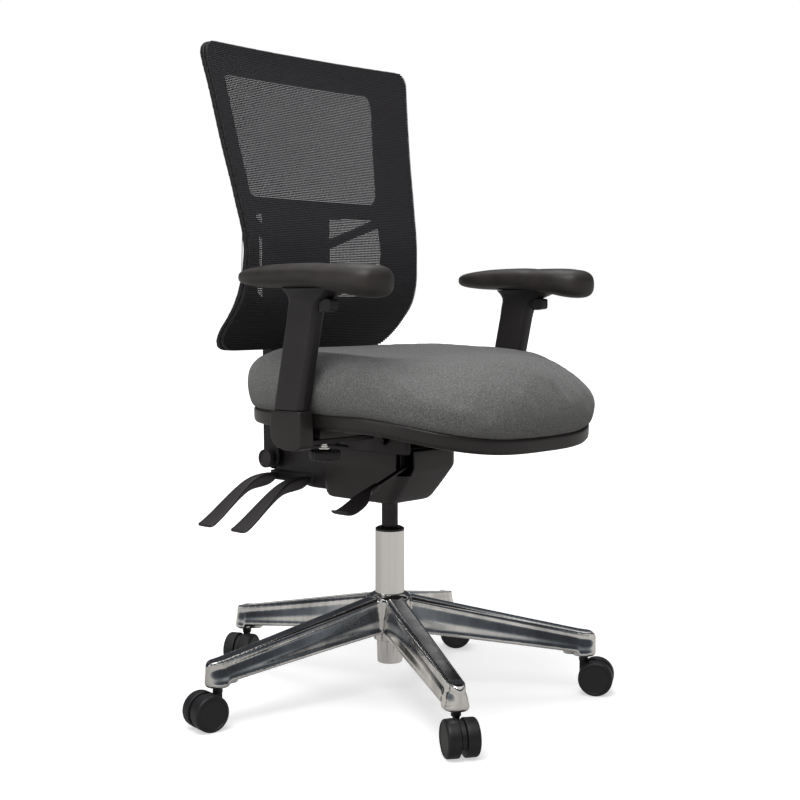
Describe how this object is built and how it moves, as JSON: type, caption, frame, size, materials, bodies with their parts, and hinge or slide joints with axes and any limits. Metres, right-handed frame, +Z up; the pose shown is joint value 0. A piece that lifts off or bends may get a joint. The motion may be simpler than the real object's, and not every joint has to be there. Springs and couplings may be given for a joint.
{
  "type": "office task chair",
  "caption": "Mesh-back task chair: upholstered seat, adjustable arms, tilt mechanism with side levers, gas lift and five-star base on twin-wheel casters.",
  "frame": {"origin": "bottom centre of the chair's box, on the floor", "axes": "+Z up, the chair faces -Y, +X is the sitter's left"},
  "size_m": [0.7344, 0.701, 1.0997],
  "materials": {
    "polished_aluminium": "polished casting",
    "column_steel": "bright turned steel",
    "bearing_brass": "plain",
    "black_steel": "satin black",
    "charcoal_plastic": "satin moulded, fine grain",
    "caster_plastic": "matt",
    "arm_pad_polyurethane": "soft skin",
    "seat_fabric": "heathered wool weave",
    "back_mesh_cloth": "fine ribbed mesh",
    "plywood": "raw"
  },
  "bodies": {
    "base": {"star_base": "polished_aluminium", "column_tube": "column_steel", "guide_bush": "charcoal_plastic", "piston_rod": "column_steel", "thrust_bearing": "bearing_brass", "retaining_clip": "column_steel"},
    "caster_1": {"caster_hood_1": "caster_plastic", "caster_axle_1": "column_steel"},
    "wheel_1a": {"caster_wheel_1a": "caster_plastic"},
    "wheel_1b": {"caster_wheel_1b": "caster_plastic"},
    "caster_2": {"caster_hood_2": "caster_plastic", "caster_axle_2": "column_steel"},
    "wheel_2a": {"caster_wheel_2a": "caster_plastic"},
    "wheel_2b": {"caster_wheel_2b": "caster_plastic"},
    "caster_3": {"caster_hood_3": "caster_plastic", "caster_axle_3": "column_steel"},
    "wheel_3a": {"caster_wheel_3a": "caster_plastic"},
    "wheel_3b": {"caster_wheel_3b": "caster_plastic"},
    "caster_4": {"caster_hood_4": "caster_plastic", "caster_axle_4": "column_steel"},
    "wheel_4a": {"caster_wheel_4a": "caster_plastic"},
    "wheel_4b": {"caster_wheel_4b": "caster_plastic"},
    "caster_5": {"caster_hood_5": "caster_plastic", "caster_axle_5": "column_steel"},
    "wheel_5a": {"caster_wheel_5a": "caster_plastic"},
    "wheel_5b": {"caster_wheel_5b": "caster_plastic"},
    "lift": {"gas_cylinder": "black_steel"},
    "mechanism": {"mech_housing": "black_steel", "mech_cover": "charcoal_plastic", "tilt_shaft": "column_steel", "recline_shaft": "column_steel", "pivot_cap_right": "charcoal_plastic", "pivot_cap_left": "charcoal_plastic", "tilt_spring": "column_steel"},
    "lift_lever": {"lift_lever_rod": "black_steel", "lift_lever_paddle": "charcoal_plastic"},
    "seat_tilt_lever": {"seat_tilt_lever": "charcoal_plastic"},
    "back_tilt_lever": {"back_tilt_lever": "charcoal_plastic"},
    "seat": {"seat_plate": "black_steel", "seat_shell": "charcoal_plastic", "seat_board": "plywood", "seat_cushion": "seat_fabric"},
    "upright": {"back_upright": "black_steel"},
    "back": {"back_frame": "charcoal_plastic", "mesh_frame": "charcoal_plastic", "back_mesh": "back_mesh_cloth"},
    "arm_right": {"arm_bracket_right": "black_steel", "arm_lower_cover_right": "charcoal_plastic"},
    "arm_top_right": {"arm_sleeve_right": "charcoal_plastic", "arm_pad_support_right": "charcoal_plastic", "arm_pad_right": "arm_pad_polyurethane"},
    "arm_button_right": {"arm_height_button_right": "charcoal_plastic"},
    "arm_knob_right": {"arm_width_knob_right": "charcoal_plastic"},
    "arm_left": {"arm_bracket_left": "black_steel", "arm_lower_cover_left": "charcoal_plastic"},
    "arm_top_left": {"arm_sleeve_left": "charcoal_plastic", "arm_pad_support_left": "charcoal_plastic", "arm_pad_left": "arm_pad_polyurethane"},
    "arm_button_left": {"arm_height_button_left": "charcoal_plastic"},
    "arm_knob_left": {"arm_width_knob_left": "charcoal_plastic"}
  },
  "joints": [
    {"name": "caster_swivel_1", "type": "hinge", "parent": "base", "child": "caster_1", "pos_m": [0.31735, 0.13125, 0.0647], "axis": [0, 0, 1], "continuous": true},
    {"name": "wheel_spin_1a", "type": "hinge", "parent": "caster_1", "child": "wheel_1a", "pos_m": [0.33089, 0.11392, 0.02954], "axis": [0.788, 0.6157, 0], "continuous": true},
    {"name": "wheel_spin_1b", "type": "hinge", "parent": "caster_1", "child": "wheel_1b", "pos_m": [0.33089, 0.11392, 0.02954], "axis": [0.788, 0.6157, 0], "continuous": true},
    {"name": "caster_swivel_2", "type": "hinge", "parent": "base", "child": "caster_2", "pos_m": [-0.02269, 0.32521, 0.0647], "axis": [0, 0, 1], "continuous": true},
    {"name": "wheel_spin_2a", "type": "hinge", "parent": "caster_2", "child": "wheel_2a", "pos_m": [-0.04294, 0.31661, 0.02954], "axis": [0.3907, -0.9205, 0], "continuous": true},
    {"name": "wheel_spin_2b", "type": "hinge", "parent": "caster_2", "child": "wheel_2b", "pos_m": [-0.04294, 0.31661, 0.02954], "axis": [0.3907, -0.9205, 0], "continuous": true},
    {"name": "caster_swivel_3", "type": "hinge", "parent": "base", "child": "caster_3", "pos_m": [-0.31223, 0.06175, 0.0647], "axis": [0, 0, 1], "continuous": true},
    {"name": "wheel_spin_3a", "type": "hinge", "parent": "caster_3", "child": "wheel_3a", "pos_m": [-0.3339, 0.06557, 0.02954], "axis": [-0.1736, -0.9848, 0], "continuous": true},
    {"name": "wheel_spin_3b", "type": "hinge", "parent": "caster_3", "child": "wheel_3b", "pos_m": [-0.3339, 0.06557, 0.02954], "axis": [-0.1736, -0.9848, 0], "continuous": true},
    {"name": "caster_swivel_4", "type": "hinge", "parent": "base", "child": "caster_4", "pos_m": [-0.15114, -0.29504, 0.0647], "axis": [0, 0, 1], "continuous": true},
    {"name": "wheel_spin_4a", "type": "hinge", "parent": "caster_4", "child": "wheel_4a", "pos_m": [-0.16312, -0.31349, 0.02954], "axis": [0.8387, -0.5446, 0], "continuous": true},
    {"name": "wheel_spin_4b", "type": "hinge", "parent": "caster_4", "child": "wheel_4b", "pos_m": [-0.16312, -0.31349, 0.02954], "axis": [0.8387, -0.5446, 0], "continuous": true},
    {"name": "caster_swivel_5", "type": "hinge", "parent": "base", "child": "caster_5", "pos_m": [0.23796, -0.25208, 0.0647], "axis": [0, 0, 1], "continuous": true},
    {"name": "wheel_spin_5a", "type": "hinge", "parent": "caster_5", "child": "wheel_5a", "pos_m": [0.24896, -0.27113, 0.02954], "axis": [0.866, 0.5, 0], "continuous": true},
    {"name": "wheel_spin_5b", "type": "hinge", "parent": "caster_5", "child": "wheel_5b", "pos_m": [0.24896, -0.27113, 0.02954], "axis": [0.866, 0.5, 0], "continuous": true},
    {"name": "seat_height", "type": "slide", "parent": "base", "child": "lift", "axis": [0, 0, 1], "range_m": [-0.038, 0.07]},
    {"name": "chair_swivel", "type": "hinge", "parent": "lift", "child": "mechanism", "pos_m": [0.01385, -0.00578, 0.3357], "axis": [0, 0, 1], "continuous": true},
    {"name": "lift_lever_pull", "type": "hinge", "parent": "mechanism", "child": "lift_lever", "pos_m": [-0.03915, -0.08978, 0.4017], "axis": [0, 1, 0], "range_deg": [0, 8], "stiffness_Nm_per_rad": 1.5, "springref_deg": -6.88},
    {"name": "seat_tilt_lever_flip", "type": "hinge", "parent": "mechanism", "child": "seat_tilt_lever", "pos_m": [-0.03615, 0.14922, 0.3617], "axis": [0, 1, 0], "range_deg": [0, 12]},
    {"name": "back_tilt_lever_flip", "type": "hinge", "parent": "mechanism", "child": "back_tilt_lever", "pos_m": [-0.03615, 0.22922, 0.3617], "axis": [0, 1, 0], "range_deg": [0, 12]},
    {"name": "seat_tilt", "type": "hinge", "parent": "mechanism", "child": "seat", "pos_m": [0.01385, -0.06578, 0.4457], "axis": [-1, 0, 0], "range_deg": [-3, 6]},
    {"name": "back_recline", "type": "hinge", "parent": "mechanism", "child": "upright", "pos_m": [0.01385, 0.22922, 0.3927], "axis": [-1, 0, 0], "range_deg": [-2, 18]},
    {"name": "back_height", "type": "slide", "parent": "upright", "child": "back", "axis": [0, 0, 1], "range_m": [0, 0.055]},
    {"name": "arm_width_right", "type": "slide", "parent": "seat", "child": "arm_right", "axis": [-1, 0, 0], "range_m": [0, 0.028]},
    {"name": "arm_height_right", "type": "slide", "parent": "arm_right", "child": "arm_top_right", "axis": [0, -0.213, 0.9771], "range_m": [0, 0.07]},
    {"name": "arm_button_press_right", "type": "slide", "parent": "arm_top_right", "child": "arm_button_right", "axis": [0, 0, 1], "range_m": [0, 0.003], "stiffness_N_per_m": 400, "springref_m": -0.002},
    {"name": "arm_knob_turn_right", "type": "hinge", "parent": "seat", "child": "arm_knob_right", "pos_m": [-0.17615, -0.04278, 0.4307], "axis": [0, 0, 1], "continuous": true},
    {"name": "arm_width_left", "type": "slide", "parent": "seat", "child": "arm_left", "axis": [1, 0, 0], "range_m": [0, 0.028]},
    {"name": "arm_height_left", "type": "slide", "parent": "arm_left", "child": "arm_top_left", "axis": [0, -0.213, 0.9771], "range_m": [0, 0.07]},
    {"name": "arm_button_press_left", "type": "slide", "parent": "arm_top_left", "child": "arm_button_left", "axis": [0, 0, 1], "range_m": [0, 0.003], "stiffness_N_per_m": 400, "springref_m": -0.002},
    {"name": "arm_knob_turn_left", "type": "hinge", "parent": "seat", "child": "arm_knob_left", "pos_m": [0.20385, -0.04278, 0.4307], "axis": [0, 0, 1], "continuous": true}
  ]
}
